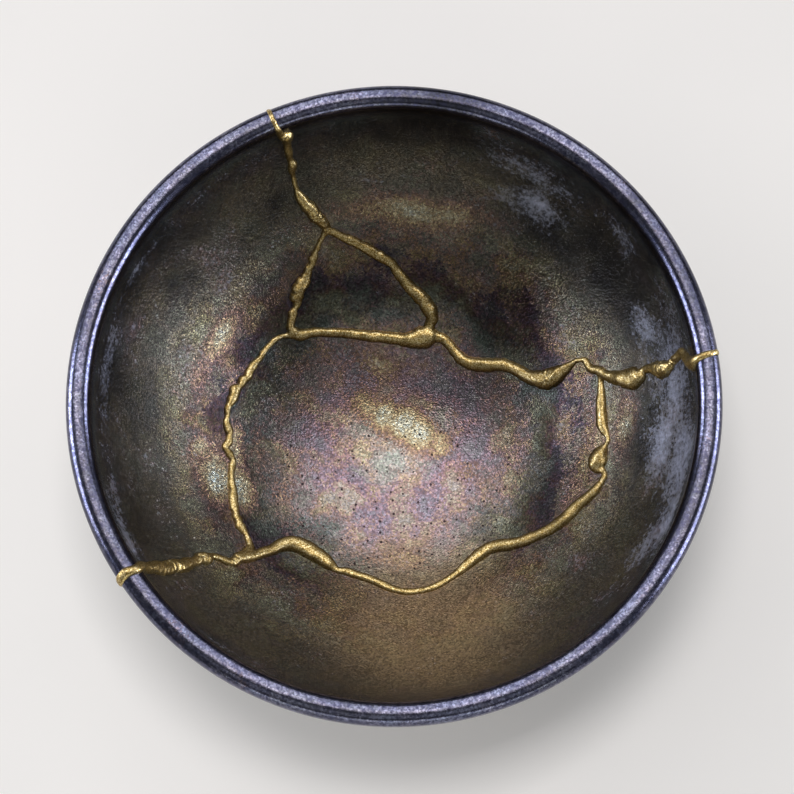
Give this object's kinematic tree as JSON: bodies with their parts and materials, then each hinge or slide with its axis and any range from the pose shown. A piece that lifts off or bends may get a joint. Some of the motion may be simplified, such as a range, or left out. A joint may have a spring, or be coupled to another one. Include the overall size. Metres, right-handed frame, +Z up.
{
  "type": "kintsugi bowl",
  "caption": "Small round footed stoneware bowl in dark metallic glaze, broken in shards and joined with raised gold lacquer seams.",
  "frame": {"origin": "centre of the foot ring's underside, on the surface that the bowl stands on", "axes": "+Z up along the axis the bowl was turned about, through the mouth; -Y towards the wall that has no seam over its lip; +X towards the seam over the right lip"},
  "size_m": [0.1457, 0.145, 0.0624],
  "materials": {
    "glaze": "satin near-black glaze with a metallic, faintly iridescent sheen; bare clay under the foot",
    "gold_seam": "gold powder set in lacquer, raised, hand-laid and slightly wrinkled"
  },
  "bodies": {
    "root": {"shard_left": "glaze", "shard_right": "glaze", "shard_front": "glaze", "shard_base": "glaze", "shard_small_triangle": "glaze", "gold_seams": "gold_seam"}
  },
  "joints": []
}
